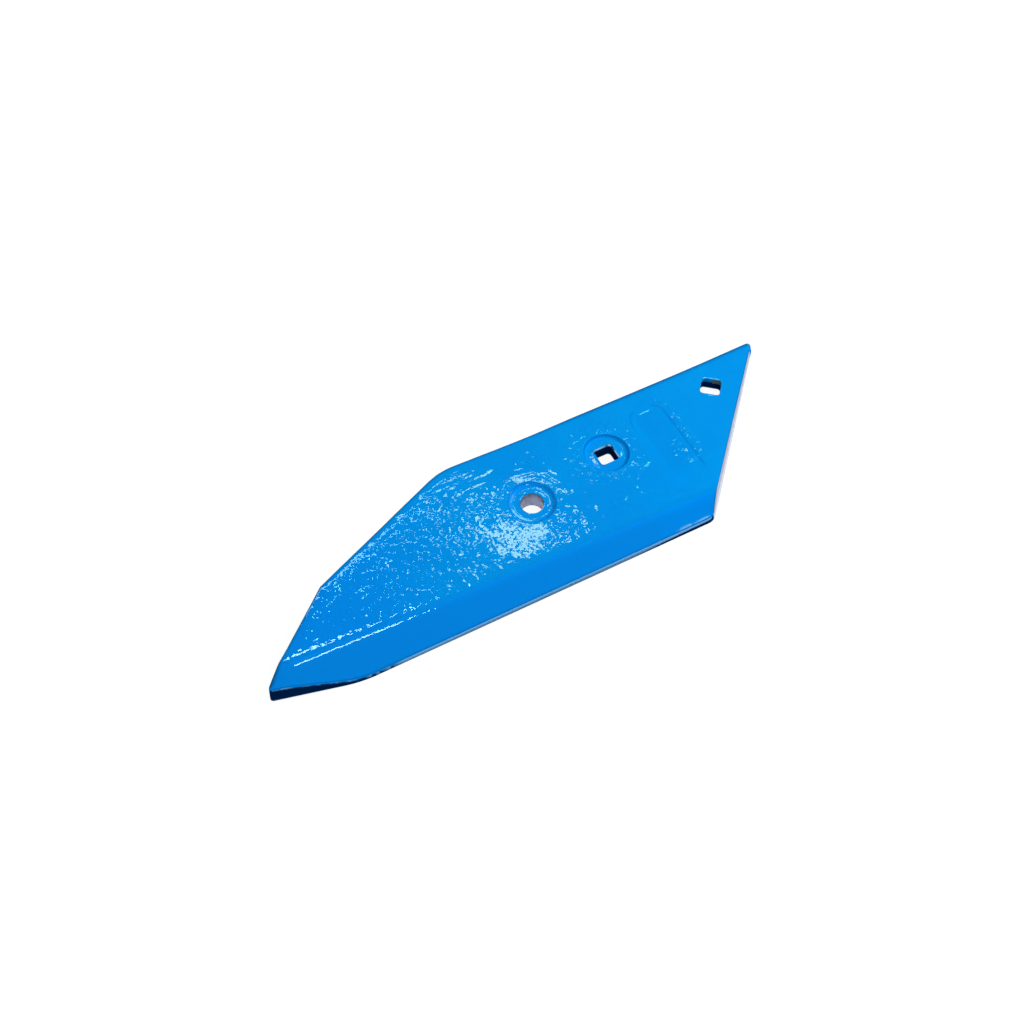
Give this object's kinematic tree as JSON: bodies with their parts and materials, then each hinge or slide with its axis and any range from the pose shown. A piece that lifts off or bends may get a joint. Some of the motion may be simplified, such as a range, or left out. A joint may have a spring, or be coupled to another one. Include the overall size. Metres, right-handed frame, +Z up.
{
  "type": "plough point",
  "caption": "Forged steel plough point with a bevelled cutting edge, a slanted tail, a round bolt hole and square bolt holes, painted blue.",
  "frame": {"origin": "where the axis of the round bolt hole meets the flat underside", "axes": "+X along the cutting edge from the nose to the tail, +Y from the cutting edge to the back, +Z up, square to the underside"},
  "size_m": [0.3849, 0.1079, 0.0192],
  "materials": {
    "painted_steel": "thick gloss blue enamel over a lumpy forged skin; bare steel in the bolt holes, on the tail face and along the cutting edge"
  },
  "bodies": {
    "root": {"plough_point": "painted_steel"}
  },
  "joints": []
}
